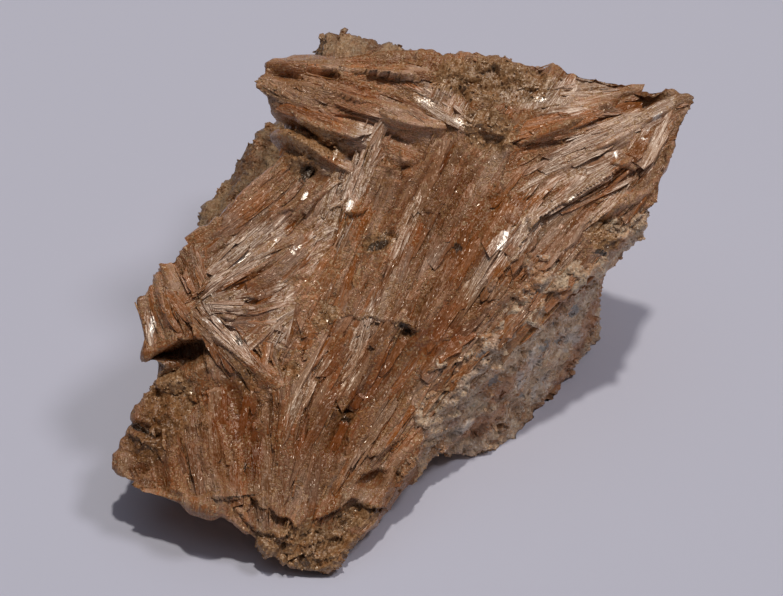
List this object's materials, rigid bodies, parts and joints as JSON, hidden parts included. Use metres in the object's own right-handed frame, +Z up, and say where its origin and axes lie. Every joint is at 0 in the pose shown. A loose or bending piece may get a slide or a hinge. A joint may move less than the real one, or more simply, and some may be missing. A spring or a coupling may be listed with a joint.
{
  "type": "mineral specimen",
  "caption": "Bustamite hand specimen: a broken lump of fanned, fibrous crystal blades on granular matrix, leaning on a flat underside.",
  "frame": {"origin": "middle of the bounding box on the surface that the lump rests on", "axes": "+X to the right along the longest extent, +Y away from the viewer, +Z up along the shortest extent; the main broken face looks towards -Y and up"},
  "size_m": [0.0823, 0.0724, 0.0487],
  "materials": {
    "bustamite": "salmon-brown fibrous crystal with a silky lustre, duller and greyer where the granular matrix shows"
  },
  "bodies": {
    "root": {"bustamite": "bustamite"}
  },
  "joints": []
}
